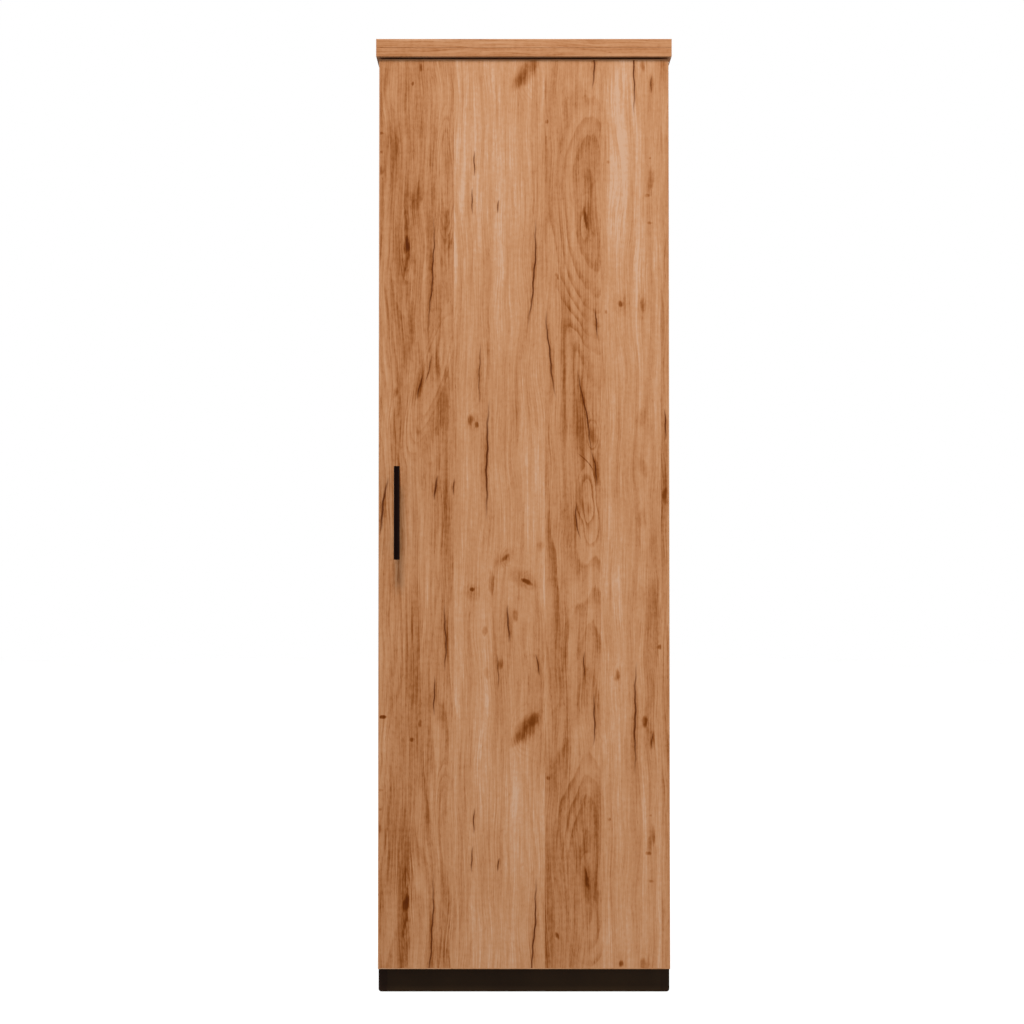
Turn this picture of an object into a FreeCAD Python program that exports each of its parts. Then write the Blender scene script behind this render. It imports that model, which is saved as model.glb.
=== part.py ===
import FreeCAD
import Part
import math
import os
from FreeCAD import Vector

# Tall office cabinet with one full-overlay door, of melamine-faced board on a black plinth.
# Sizes are in millimetres. The origin is on the floor, in the middle of the footprint, handle included.
# X runs to the right seen from the front, Y from the front to the back, Z up.

# Carcass and top
top_width = 600.0
total_height = 1930.0
side_depth = 390.0
board = 18.0
top_side_overhang = 5.0
top_front_overhang = 6.0
edging = 2.0
thin_edging = 1.0
arris = 0.8
back_thickness = 3.0
back_inset = 12.0
groove_depth = 8.0

# Shelves
shelf_count = 4
fixed_shelf = 3
shelf_setback = 15.0
shelf_play = 0.6
pin_diameter = 5.0
pin_tongue_diameter = 7.0
pin_hole_depth = 12.0
hole_end_gap = 1.0
pin_reach = 9.0
pin_flat = 1.5
pin_pitch = 32.0
pin_holes_each_way = 2
row_inset = 37.0

# Door and handle
door_thickness = 18.0
door_gap = 2.5
door_side_reveal = 1.0
door_top_gap = 4.0
bar_diameter = 12.0
bar_length = 188.0
post_spacing = 128.0
post_diameter = 9.0
handle_projection = 35.0
handle_inset = 38.5
handle_centre_height = 967.0
handle_screw_diameter = 4.0
handle_screw_head = 8.0
handle_screw_engagement = 10.0
bumper_diameter = 10.0
bumper_inset = 40.0

# Plinth and levelling feet
plinth_height = 50.0
plinth_side_inset = 1.0
plinth_setback = 4.0
plinth_rounding = 6.0
plinth_dowel_inset = 60.0
foot_diameter = 30.0
foot_thickness = 6.0
foot_chamfer = 1.5
stem_diameter = 10.0
stem_top_gap = 1.0
key_corners = 5.0
key_depth = 5.0
housing_size = 44.0
housing_gap = 1.0
housing_lift = 2.0
housing_wall = 6.0
housing_flange = 3.0
housing_rib = 2.0
peg_diameter = 8.0
peg_height = 10.0
peg_inset = 7.0
access_hole = 12.0
cap_rim = 2.0
cap_thickness = 1.2

# Carcass fittings
cam_diameter = 15.0
cam_depth = 13.0
cam_distance = 34.0
bolt_diameter = 5.0
bolt_head_diameter = 7.0
bolt_head_length = 3.0
bolt_thread_length = 11.0
dowel_diameter = 8.0
dowel_length = 30.0
fitting_inset = 90.0
dowel_inset = 125.0

# Clearances
snug = 0.05
running = 0.05
slide_fit = 0.15

# Levels and planes that follow from the driving dimensions
top_thickness = 2 * board
half_width = top_width / 2 - top_side_overhang
inner_half = half_width - board
carcass_top = total_height - top_thickness
bay_floor = plinth_height + board
bay_height = (carcass_top - bay_floor - shelf_count * board) / (shelf_count + 1)
overall_depth = side_depth + door_gap + door_thickness + handle_projection
back_y = overall_depth / 2
front_y = back_y - side_depth
door_rear_y = front_y - door_gap
door_front_y = door_rear_y - door_thickness
top_front_y = door_front_y - top_front_overhang
back_rear_y = back_y - back_inset
back_front_y = back_rear_y - back_thickness
door_half = half_width - door_side_reveal
door_bottom = plinth_height
door_top = carcass_top - door_top_gap
plinth_half = half_width - plinth_side_inset
plinth_front_y = front_y + plinth_setback
pin_rows = (front_y + row_inset, back_front_y - row_inset)

X = Vector(1, 0, 0)
Y = Vector(0, 1, 0)
Z = Vector(0, 0, 1)

# Concealed hinges. In plan, u runs outwards from the side panel's inner face and v back from the
# carcass front. Each hinge is a four-bar linkage: a pair of outer links and one inner link join the
# arm to the cup in the door.
outer_arm_pivot = Vector(-31.3, 19.3, 0)
outer_cup_pivot = Vector(3.9, -3.6, 0)
inner_arm_pivot = Vector(-30.1, 2.6, 0)
inner_cup_pivot = Vector(1.4, -9.1, 0)
outer_link_bend = Vector(-6.0, -4.0, 0)
hinge_distance = 90.0
cup_diameter = 35.0
cup_depth = 13.0
cup_wall = 1.2
cup_edge_distance = 5.0
ear_offset = 9.5
ear_screw_spacing = 45.0
ear_radius = 7.0
ear_start = 9.6
ear_thickness = 1.0
arm_gauge = 1.2
link_gauge = 1.4
layer_gap = 0.4
inner_link_width = 10.0
inner_link_thickness = 2.5
outer_link_thickness = 4.4
eye_radius = 2.4
pivot_diameter = 3.0
pivot_head = 0.6
plate_thickness = 2.5
plate_height = 48.0
plate_width = 16.0
plate_inset = 37.0
plate_screw_spacing = 32.0
ridge_height = 12.5
ridge_front = 28.0
ridge_length = 30.0
arm_length = 60.0
arm_screw_inset = 10.0
arm_screw_diameter = 4.0
arm_screw_head = 7.0
screw_head_height = 1.5
cup_screw_diameter = 3.5
cup_screw_length = 13.0
cup_screw_head = 7.0
cup_screw_head_height = 1.2
plate_screw_diameter = 5.0
plate_screw_head = 9.0

# Hinge planes that follow from these
cup_u = board - door_side_reveal - cup_edge_distance - cup_diameter / 2
arm_inside = inner_link_width / 2 + layer_gap
arm_outside = arm_inside + arm_gauge
link_inside = arm_outside + layer_gap
link_outside = link_inside + link_gauge
ridge_top = -plate_thickness - ridge_height


def shelf_underside(number):
    """Height of the underside of a shelf, counted from the lowest one."""
    return bay_floor + number * bay_height + (number - 1) * board


middle_shelf = shelf_count // 2
hinge_levels = (
    bay_floor + hinge_distance,
    shelf_underside(middle_shelf) - hinge_distance,
    shelf_underside(middle_shelf + 1) + board + hinge_distance,
    carcass_top - hinge_distance,
)


def slab(x0, x1, y0, y1, z0, z1):
    """A board or strip between two planes on each axis, given either way round."""
    corner = Vector(min(x0, x1), min(y0, y1), min(z0, z1))
    return Part.makeBox(abs(x1 - x0), abs(y1 - y0), abs(z1 - z0), corner)


def rod(diameter, start, direction, length):
    return Part.makeCylinder(diameter / 2, length, start, direction)


def outline(points, low, high):
    """An upright solid with a many-sided plan, from one height to another."""
    lifted = [Vector(p.x, p.y, low) for p in points]
    face = Part.Face(Part.makePolygon(lifted + lifted[:1]))
    return face.extrude(Z * (high - low))


def bar(a, b, thickness, low, high):
    """An upright bar in plan from a to b, with half-round ends."""
    along = (b - a).normalize()
    across = Vector(-along.y, along.x, 0) * (thickness / 2)
    tip = along * (thickness / 2)
    edges = (
        Part.LineSegment(a - across, b - across),
        Part.Arc(b - across, b + tip, b + across),
        Part.LineSegment(b + across, a + across),
        Part.Arc(a + across, a - tip, a - across),
    )
    face = Part.Face(Part.Wire([edge.toShape() for edge in edges]))
    return face.translated(Z * low).extrude(Z * (high - low))


def mirrored(solid):
    """The same solid on the other side of the hinge's middle plane."""
    return solid.mirror(Vector(0, 0, 0), Z)


def save(name, solids):
    Part.makeCompound(solids).exportStep(f"parts/{name}.step")


drilled = {}


def drill(panel, hole):
    drilled.setdefault(panel, []).append(hole)


def machined(panel, solid):
    """A panel with all the holes that its fittings need."""
    return solid.cut(drilled[panel]) if panel in drilled else solid


def edging_strip(strip, outward):
    """An edging strip with its two long outer edges rounded."""
    reach = max(edge.CenterOfMass.dot(outward) for edge in strip.Edges)
    length = max(edge.Length for edge in strip.Edges)
    gauge = min(edge.Length for edge in strip.Edges)
    outer = [edge for edge in strip.Edges if edge.CenterOfMass.dot(outward) > reach - gauge / 4]
    rounded = [edge for edge in outer if edge.Length > length - gauge / 4]
    return strip.makeFillet(min(arris, gauge / 2), rounded)


# Cam locks with their bolts, and dowels, at the corners of the carcass and at the fixed shelf
cams = []
bolts = []
dowels = []


def cam_joint(seat, into, face, holder, mate):
    """A cam lock and bolt across a butt joint.

    The seat is where the bolt's axis crosses the joint. The bolt points into the holder, the panel with the
    cam, whose flush end shows on the given face, and its thread is in the mate.
    """
    centre = seat + into * cam_distance
    surface = centre + face * (board / 2)
    bore = rod(bolt_head_diameter + 2 * slide_fit, seat, into, cam_distance + bolt_head_length)
    cams.append(rod(cam_diameter, surface, -face, cam_depth).cut(bore))
    shank = rod(bolt_diameter, seat - into * bolt_thread_length, into, bolt_thread_length + cam_distance)
    head = rod(bolt_head_diameter, centre - into * bolt_head_length / 2, into, bolt_head_length)
    bolts.append(shank.fuse(head))
    drill(holder, bore)
    drill(holder, rod(cam_diameter + 2 * snug, surface, -face, cam_depth + snug))
    drill(mate, rod(bolt_diameter + 2 * snug, seat, -into, bolt_thread_length + snug))


def dowel_joint(seat, into, holder, mate):
    """A wooden dowel across a butt joint, two thirds of a board deep in the mate."""
    depth = board * 2 / 3
    hole = dowel_diameter + 2 * snug
    dowels.append(rod(dowel_diameter, seat - into * depth, into, dowel_length))
    drill(holder, rod(hole, seat, into, dowel_length - depth + snug))
    drill(mate, rod(hole, seat, -into, depth + snug))


fitting_rows = (front_y + fitting_inset, back_front_y - fitting_inset)
dowel_rows = (front_y + dowel_inset, back_front_y - dowel_inset)
plinth_rows = (front_y + plinth_dowel_inset, back_front_y - plinth_dowel_inset)
sides = (("left", -1), ("right", 1))
for name, sign in sides:
    inward = X * -sign
    levels = {"bottom_panel": plinth_height, "fixed_shelf": shelf_underside(fixed_shelf)}
    for panel, underside in levels.items():
        level = underside + board / 2
        for y in fitting_rows:
            cam_joint(Vector(sign * inner_half, y, level), inward, -Z, panel, f"{name}_side")
        for y in dowel_rows:
            dowel_joint(Vector(sign * inner_half, y, level), inward, panel, f"{name}_side")
    middle = sign * (half_width - board / 2)
    for y in fitting_rows:
        cam_joint(Vector(middle, y, carcass_top), -Z, inward, f"{name}_side", "top_lower_board")
    for y in dowel_rows:
        dowel_joint(Vector(middle, y, carcass_top), -Z, f"{name}_side", "top_lower_board")
    for y in plinth_rows:
        dowel_joint(Vector(middle, y, plinth_height), Z, f"{name}_side", f"plinth_{name}")
    for y in (plinth_front_y + board / 2, back_y - board / 2):
        board_name = "plinth_front" if y < 0 else "plinth_rear"
        seat = Vector(sign * (plinth_half - board), y, plinth_height / 2)
        dowel_joint(seat, inward, board_name, f"plinth_{name}")

# Shelf pins in rows of holes
pins = []


def shelf_pin(sign, y, level):
    """A pin with a flat-topped tongue under the shelf."""
    depth = pin_hole_depth - hole_end_gap
    stem = rod(pin_diameter, Vector(sign * (inner_half + depth), y, level), X * -sign, depth + pin_reach)
    tongue = rod(pin_tongue_diameter, Vector(sign * inner_half, y, level), X * -sign, pin_reach)
    wide = pin_tongue_diameter / 2
    above = slab(0, sign * inner_half, y - wide, y + wide, level + pin_flat, level + wide)
    return stem.fuse(tongue).cut(above)


loose_shelves = [number for number in range(1, shelf_count + 1) if number != fixed_shelf]
for number in loose_shelves:
    level = shelf_underside(number) - pin_flat
    for name, sign in sides:
        for y in pin_rows:
            pins.append(shelf_pin(sign, y, level))
            for step in range(-pin_holes_each_way, pin_holes_each_way + 1):
                mouth = Vector(sign * inner_half, y, level + step * pin_pitch)
                drill(f"{name}_side", rod(pin_diameter + 2 * snug, mouth, X * sign, pin_hole_depth))

# Levelling feet: a foot on a screw stem in a housing under each corner of the bottom panel
foot_corner = board + housing_size / 2 + housing_gap
foot_rows = (("front", plinth_front_y + foot_corner), ("rear", back_y - foot_corner))
housings = []
caps = []
feet = {}


def leveller_pegs(diameter, height):
    """Two pegs at opposite corners of a housing's flange, or the holes for them."""
    reach = housing_size / 2 - peg_inset
    return [rod(diameter, Vector(way * reach, way * reach, plinth_height), Z, height) for way in (-1, 1)]


def leveller_housing():
    """A moulded flange and socket with four ribs, pressed into the bottom panel by two pegs."""
    boss_diameter = stem_diameter + 2 * housing_wall
    side = housing_size / 2
    under = plinth_height - housing_flange
    flange = slab(-side, side, -side, side, under, plinth_height)
    boss_foot = foot_thickness + housing_lift
    boss = rod(boss_diameter, Z * boss_foot, Z, under - boss_foot)
    profile = [Vector(0, 0, under), Vector(side, 0, under), Vector(0, 0, boss_foot)]
    rib = Part.Face(Part.makePolygon(profile + profile[:1])).extrude(Y * housing_rib)
    rib = rib.translated(Y * -housing_rib / 2)
    ribs = [rib.rotated(Vector(0, 0, 0), Z, 90 * turn) for turn in range(4)]
    bore = rod(stem_diameter + 2 * running, Vector(0, 0, 0), Z, plinth_height)
    pegs = leveller_pegs(peg_diameter, peg_height)
    return flange.fuse([boss] + ribs + pegs).cut(bore).removeSplitter()


def levelling_foot():
    """A round foot with a softened rim and a plain stem with a hexagon socket."""
    disc = rod(foot_diameter, Vector(0, 0, 0), Z, foot_thickness)
    upper_rim = [edge for edge in disc.Edges if edge.Closed and edge.CenterOfMass.z > foot_thickness / 2]
    disc = disc.makeChamfer(foot_chamfer, upper_rim)
    stem_top = plinth_height - stem_top_gap
    stem = rod(stem_diameter, Vector(0, 0, 0), Z, stem_top)
    turns = [math.radians(60 * k) for k in range(6)]
    key = [Vector(math.cos(t), math.sin(t), 0) * (key_corners / 2) for t in turns]
    return disc.fuse(stem).cut(outline(key, stem_top - key_depth, stem_top))


def access_cap():
    """A press-in cap over the key hole in the bottom panel."""
    rim = rod(access_hole + 2 * cap_rim, Z * bay_floor, Z, cap_thickness)
    plug = rod(access_hole - 2 * snug, Z * (bay_floor - board / 2), Z, board / 2)
    return rim.fuse(plug)


for row, y in foot_rows:
    for name, sign in sides:
        place = Vector(sign * (plinth_half - foot_corner), y, 0)
        housings.append(leveller_housing().translated(place))
        feet[f"{row}_{name}_foot"] = levelling_foot().translated(place)
        caps.append(access_cap().translated(place))
        drill("bottom_panel", rod(access_hole, place + Z * plinth_height, Z, board))
        for peg_hole in leveller_pegs(peg_diameter + 2 * snug, peg_height + snug):
            drill("bottom_panel", peg_hole.translated(place))

# Hinges, each modelled at the carcass front, level with the floor, and then lifted to its height
eye = 2 * eye_radius
hole = pivot_diameter + 2 * running
mouth = Vector(cup_u, -door_gap, 0)
ear_u = cup_u - ear_offset
ear_top = -door_gap + ear_thickness


def at_hinges(solids):
    places = [Vector(inner_half, front_y, level) for level in hinge_levels]
    return [solid.translated(place) for place in places for solid in solids]


def pivot_hole(pivot):
    return rod(hole, pivot - Z * cup_diameter, Z, 2 * cup_diameter)


def ear_tip(side):
    return Vector(ear_u, -door_gap, side * ear_screw_spacing / 2)


def hinge_cup():
    """A drawn steel cup with two screw ears on the door's rear face."""
    cup = rod(cup_diameter, mouth, -Y, cup_depth)
    rim = mouth + Y * ear_thickness
    space = rod(cup_diameter - 2 * cup_wall, rim, -Y, ear_thickness + cup_depth - cup_wall)
    ears = []
    cuts = [space]
    for side in (-1, 1):
        tip = ear_tip(side)
        ears.append(rod(2 * ear_radius, tip, Y, ear_thickness))
        ears.append(slab(ear_u - ear_radius, ear_u + ear_radius, -door_gap, ear_top, side * ear_start, tip.z))
        cuts.append(rod(cup_screw_diameter + 2 * snug, tip, Y, ear_thickness))
    return cup.fuse(ears).cut(cuts).removeSplitter()


def cup_pin(pivot, inner_end):
    """A rivet from the cup's wall to the side of a link."""
    space = rod(cup_diameter - 2 * cup_wall, mouth, -Y, cup_depth)
    return rod(pivot_diameter, pivot + Z * inner_end, Z, cup_diameter).common(space)


def cup_screw(side):
    """A pan-head wood screw through an ear."""
    seat = ear_tip(side) + Y * ear_thickness
    head = rod(cup_screw_head, seat, Y, cup_screw_head_height)
    return head.fuse(rod(cup_screw_diameter, seat, -Y, cup_screw_length))


def outer_link():
    """One bent plate of the outer pair, outside the arm's cheeks."""
    pivots = (outer_arm_pivot, outer_cup_pivot)
    limbs = [bar(p, outer_link_bend, outer_link_thickness, link_inside, link_outside) for p in pivots]
    eyes = [rod(eye, p + Z * link_inside, Z, link_gauge) for p in pivots]
    return limbs[0].fuse(limbs[1:] + eyes).cut([pivot_hole(p) for p in pivots])


def inner_link():
    """The inner link, between the arm's cheeks, with a rolled eye at each end."""
    low = -inner_link_width / 2
    pivots = (inner_arm_pivot, inner_cup_pivot)
    web = bar(*pivots, inner_link_thickness, low, -low)
    eyes = [rod(eye, p + Z * low, Z, inner_link_width) for p in pivots]
    return web.fuse(eyes).cut([pivot_hole(p) for p in pivots])


def arm_screw_place():
    return Vector(ridge_top - arm_gauge, ridge_front + ridge_length - arm_screw_inset, 0)


def hinge_arm():
    """A folded steel arm: two cheeks that carry the arm's pivots, joined by a web over the plate's ridge."""
    heel = Vector(ridge_top - arm_gauge, arm_length, 0)
    plan = [
        heel,
        Vector(-plate_thickness - layer_gap, arm_length, 0),
        Vector(-plate_thickness - layer_gap, ridge_front, 0),
        inner_arm_pivot,
        outer_arm_pivot,
    ]
    cheek = outline(plan, arm_inside, arm_outside)
    cheek = cheek.fuse(bar(inner_arm_pivot, outer_arm_pivot, eye, arm_inside, arm_outside))
    web = slab(heel.x, ridge_top, ridge_front + ridge_length / 3, arm_length, -arm_inside, arm_inside)
    screw = rod(arm_screw_diameter + 2 * snug, arm_screw_place(), X, arm_gauge)
    pivots = [pivot_hole(outer_arm_pivot), pivot_hole(inner_arm_pivot)]
    return cheek.fuse([mirrored(cheek), web]).cut(pivots + [screw]).removeSplitter()


def arm_screw():
    """The screw that clamps the arm to the mounting plate's ridge."""
    head = rod(arm_screw_head, arm_screw_place(), -X, screw_head_height)
    return head.fuse(rod(arm_screw_diameter, arm_screw_place(), X, arm_gauge + ridge_height / 2))


def plate_screw(side):
    """A pan-head screw from the mounting plate into the side panel."""
    place = Vector(-plate_thickness, plate_inset, side * plate_screw_spacing / 2)
    head = rod(plate_screw_head, place, -X, screw_head_height)
    return head.fuse(rod(plate_screw_diameter, place, X, plate_thickness + pin_hole_depth - hole_end_gap))


def mounting_plate():
    """A plate on the side panel with a ridge that the arm sits over."""
    front = plate_inset - plate_width / 2
    base = slab(-plate_thickness, 0, front, front + plate_width, -plate_height / 2, plate_height / 2)
    wide = arm_inside - layer_gap / 2
    ridge = slab(ridge_top, 0, ridge_front, ridge_front + ridge_length, -wide, wide)
    depth = arm_gauge + ridge_height / 2 + hole_end_gap
    holes = [rod(arm_screw_diameter + 2 * snug, arm_screw_place(), X, depth)]
    for side in (-1, 1):
        place = Vector(-plate_thickness, plate_inset, side * plate_screw_spacing / 2)
        holes.append(rod(plate_screw_diameter + 2 * snug, place, X, plate_thickness))
    return base.fuse(ridge).cut(holes).removeSplitter()


def arm_pin(pivot, reach):
    """A riveted pin through the arm's cheeks."""
    return rod(pivot_diameter, pivot - Z * reach, Z, 2 * reach)


for level in hinge_levels:
    place = Vector(inner_half, front_y, level)
    drill("door_panel", rod(cup_diameter + 2 * snug, mouth + place, -Y, cup_depth + snug))
    for side in (-1, 1):
        drill("door_panel", rod(cup_screw_diameter + 2 * snug, ear_tip(side) + place, -Y, cup_screw_length))
        seat = Vector(inner_half, front_y + plate_inset, level + side * plate_screw_spacing / 2)
        drill("right_side", rod(plate_screw_diameter + 2 * snug, seat, X, pin_hole_depth))

# Handle: a round bar on two posts, each held by a screw from the door's rear face
handle_x = handle_inset - door_half
bar_y = door_front_y - handle_projection + bar_diameter / 2
bar_foot = handle_centre_height - bar_length / 2
handle_bar = rod(bar_diameter, Vector(handle_x, bar_y, bar_foot), Z, bar_length)
handle_bar = handle_bar.makeChamfer(arris, [edge for edge in handle_bar.Edges if edge.Closed])
posts = []
handle_screws = []
for side in (-1, 1):
    foot = Vector(handle_x, door_front_y, handle_centre_height + side * post_spacing / 2)
    rear = foot + Y * door_thickness
    hole_in_post = rod(handle_screw_diameter + 2 * snug, foot, -Y, handle_screw_engagement + hole_end_gap)
    post = rod(post_diameter, foot, -Y, handle_projection - bar_diameter / 2)
    posts.append(post.cut([handle_bar, hole_in_post]))
    head = rod(handle_screw_head, rear, Y, screw_head_height)
    shank = rod(handle_screw_diameter, rear, -Y, door_thickness + handle_screw_engagement)
    handle_screws.append(head.fuse(shank))
    drill("door_panel", rod(handle_screw_diameter + 2 * slide_fit, rear, -Y, door_thickness))

# Panels
groove_front = back_front_y - slide_fit
groove_rear = back_rear_y + slide_fit


def side_panel(name, sign):
    face = sign * inner_half
    panel = slab(face, sign * half_width, front_y + thin_edging, back_y, plinth_height, carcass_top)
    groove_floor = sign * (inner_half + groove_depth)
    groove = slab(face, groove_floor, groove_front, groove_rear, plinth_height, carcass_top)
    return machined(f"{name}_side", panel.cut(groove))


def shelf_board(half, rear, underside):
    return slab(-half, half, front_y + shelf_setback + thin_edging, rear, underside, underside + board)


def plinth_side(name, sign):
    inner = sign * (plinth_half - board)
    panel = slab(inner, sign * plinth_half, plinth_front_y, back_y, 0, plinth_height)
    low = [edge for edge in panel.Edges if edge.BoundBox.ZMax < plinth_height / 2 and edge.Length > board]
    outer = [edge for edge in low if abs(edge.CenterOfMass.x) > abs(inner) + board / 2]
    return machined(f"plinth_{name}", panel.makeFillet(plinth_rounding, outer))


os.makedirs("parts", exist_ok=True)

for name, sign in sides:
    save(f"{name}_side", [side_panel(name, sign)])
    save(f"plinth_{name}", [plinth_side(name, sign)])

bottom = slab(-inner_half, inner_half, front_y + thin_edging, back_front_y, plinth_height, bay_floor)
save("bottom_panel", [machined("bottom_panel", bottom)])
fixed = shelf_board(inner_half, back_front_y, shelf_underside(fixed_shelf))
save("fixed_shelf", [machined("fixed_shelf", fixed)])
for index, number in enumerate(loose_shelves):
    loose = shelf_board(inner_half - shelf_play, back_front_y - shelf_play, shelf_underside(number))
    save(f"loose_shelf_{index + 1}", [loose])

back_half = inner_half + groove_depth - slide_fit
back_top = carcass_top + groove_depth - slide_fit
save("back_panel", [slab(-back_half, back_half, back_front_y, back_rear_y, plinth_height, back_top)])

core_half = top_width / 2 - edging
core_front = top_front_y + edging
core_rear = back_y - edging
middle_of_top = carcass_top + board
lower = slab(-core_half, core_half, core_front, core_rear, carcass_top, middle_of_top)
groove_half = back_half + slide_fit
groove = slab(-groove_half, groove_half, groove_front, groove_rear, carcass_top, carcass_top + groove_depth)
save("top_lower_board", [machined("top_lower_board", lower.cut(groove))])
save("top_upper_board", [slab(-core_half, core_half, core_front, core_rear, middle_of_top, total_height)])
for name, low in (("lower", carcass_top), ("upper", middle_of_top)):
    high = low + board
    save(f"top_{name}_edging", [
        edging_strip(slab(-core_half, core_half, top_front_y, core_front, low, high), -Y),
        edging_strip(slab(-core_half, core_half, core_rear, back_y, low, high), Y),
        edging_strip(slab(-core_half - edging, -core_half, top_front_y, back_y, low, high), -X),
        edging_strip(slab(core_half, core_half + edging, top_front_y, back_y, low, high), X),
    ])

strip_rear = front_y + thin_edging
save("carcass_edging", [
    edging_strip(slab(-inner_half, -half_width, front_y, strip_rear, plinth_height, carcass_top), -Y),
    edging_strip(slab(inner_half, half_width, front_y, strip_rear, plinth_height, carcass_top), -Y),
    edging_strip(slab(-inner_half, inner_half, front_y, strip_rear, plinth_height, bay_floor), -Y),
])
shelf_strips = []
for number in range(1, shelf_count + 1):
    half = inner_half if number == fixed_shelf else inner_half - shelf_play
    low = shelf_underside(number)
    near = front_y + shelf_setback
    strip = slab(-half, half, near, near + thin_edging, low, low + board)
    shelf_strips.append(edging_strip(strip, -Y))
save("shelf_edging", shelf_strips)

plinth_gap = plinth_half - board
plinth_front = slab(-plinth_gap, plinth_gap, plinth_front_y, plinth_front_y + board, 0, plinth_height)
plinth_rear = slab(-plinth_gap, plinth_gap, back_y - board, back_y, 0, plinth_height)
save("plinth_front", [machined("plinth_front", plinth_front)])
save("plinth_rear", [machined("plinth_rear", plinth_rear)])

save("cam_locks", cams)
save("cam_bolts", bolts)
save("wooden_dowels", dowels)
save("shelf_pins", pins)
save("leveller_housings", housings)
save("access_caps", caps)
for name, foot in feet.items():
    save(name, [foot])

leaf_half = door_half - edging
leaf_bottom = door_bottom + edging
leaf_top = door_top - edging
leaf = slab(-leaf_half, leaf_half, door_front_y, door_rear_y, leaf_bottom, leaf_top)
save("door_panel", [machined("door_panel", leaf)])
save("door_edging", [
    edging_strip(slab(-door_half, -leaf_half, door_front_y, door_rear_y, door_bottom, door_top), -X),
    edging_strip(slab(leaf_half, door_half, door_front_y, door_rear_y, door_bottom, door_top), X),
    edging_strip(slab(-leaf_half, leaf_half, door_front_y, door_rear_y, door_bottom, leaf_bottom), -Z),
    edging_strip(slab(-leaf_half, leaf_half, door_front_y, door_rear_y, leaf_top, door_top), Z),
])
pad_x = board / 2 - half_width
pad_levels = (door_bottom + bumper_inset, door_top - bumper_inset)
pads = [rod(bumper_diameter, Vector(pad_x, door_rear_y, level), Y, door_gap) for level in pad_levels]
save("door_bumpers", pads)
save("handle_bar", [handle_bar])
save("handle_posts", posts)
save("handle_screws", handle_screws)

save("hinge_plates", at_hinges([mounting_plate()]))
save("plate_screws", at_hinges([plate_screw(-1), plate_screw(1)]))
save("hinge_arms", at_hinges([hinge_arm()]))
save("arm_screws", at_hinges([arm_screw()]))
outer_pin = arm_pin(outer_arm_pivot, link_outside + pivot_head)
save("arm_pins", at_hinges([outer_pin, arm_pin(inner_arm_pivot, arm_outside)]))
save("outer_links", at_hinges([outer_link(), mirrored(outer_link())]))
save("inner_links", at_hinges([inner_link()]))
save("hinge_cups", at_hinges([hinge_cup()]))
half_pins = [cup_pin(outer_cup_pivot, link_inside), cup_pin(inner_cup_pivot, arm_inside)]
save("cup_pins", at_hinges(half_pins + [mirrored(pin) for pin in half_pins]))
save("cup_screws", at_hinges([cup_screw(-1), cup_screw(1)]))
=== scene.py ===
import math

import bpy
import numpy as np
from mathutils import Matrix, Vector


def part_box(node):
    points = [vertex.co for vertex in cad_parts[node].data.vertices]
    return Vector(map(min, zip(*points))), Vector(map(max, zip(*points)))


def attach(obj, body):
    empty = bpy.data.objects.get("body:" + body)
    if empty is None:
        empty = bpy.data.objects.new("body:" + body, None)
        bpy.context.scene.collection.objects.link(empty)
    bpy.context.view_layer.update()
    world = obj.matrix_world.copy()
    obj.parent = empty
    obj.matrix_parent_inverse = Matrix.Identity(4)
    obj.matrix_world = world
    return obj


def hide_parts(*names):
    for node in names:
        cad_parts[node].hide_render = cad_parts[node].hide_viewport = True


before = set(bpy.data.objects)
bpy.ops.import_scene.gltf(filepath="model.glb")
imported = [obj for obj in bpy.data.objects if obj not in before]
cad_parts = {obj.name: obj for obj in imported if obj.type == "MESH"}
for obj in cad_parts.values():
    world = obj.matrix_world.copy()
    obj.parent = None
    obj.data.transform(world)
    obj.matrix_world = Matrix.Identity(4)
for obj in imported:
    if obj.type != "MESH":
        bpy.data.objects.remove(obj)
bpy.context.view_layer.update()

# Plinth: four chipboard boards faced with brown-black melamine, doweled into a frame under the carcass.
# The facing is pressed with a fine pearl grain, so it is matt and only greys a little where the light grazes.
# The side boards run through to the front, where their ends are edged a shade darker than the front board.


def linear(shade):
    """An sRGB hex shade as linear red, green, blue and a full alpha, by the standard curve."""
    parts = [int(shade[k:k + 2], 16) / 255 for k in (1, 3, 5)]
    return [p / 12.92 if p <= 0.04045 else ((p + 0.055) / 1.055) ** 2.4 for p in parts] + [1.0]


def add_node(tree, kind, *values, out=0, stops=(), **settings):
    """Adds one node with its settings and links, and gives back one of its outputs.

    Values go to the inputs in order: an output is linked, a number is set, and None leaves the input alone.
    Settings with a capital go to the input of that name, the others are the node's own choices, and stops
    are the positions and colours of a ramp.
    """
    made = tree.nodes.new("ShaderNode" + kind)
    given = dict(enumerate(values))
    for key, value in settings.items():
        if key[0].isupper():
            given[key.replace("_", " ")] = value
        else:
            setattr(made, key, value)
    for key, value in given.items():
        if isinstance(value, bpy.types.NodeSocket):
            tree.links.new(value, made.inputs[key])
        elif value is not None:
            made.inputs[key].default_value = value
    if stops:
        for position, colour in stops[2:]:
            made.color_ramp.elements.new(position)
        for element, (position, colour) in zip(made.color_ramp.elements, stops):
            element.position = position
            element.color = colour
    return made.outputs[out] if made.outputs else made


def new_material(name):
    """A new material with an empty node tree, and that tree."""
    material = bpy.data.materials.new(name)
    material.use_nodes = True
    material.node_tree.nodes.clear()
    return material, material.node_tree


def dress(material, *pieces):
    """Puts a material on CAD pieces, in place of the one they came with."""
    for piece in pieces:
        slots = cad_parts[piece].data.materials
        slots.clear()
        slots.append(material)


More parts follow.
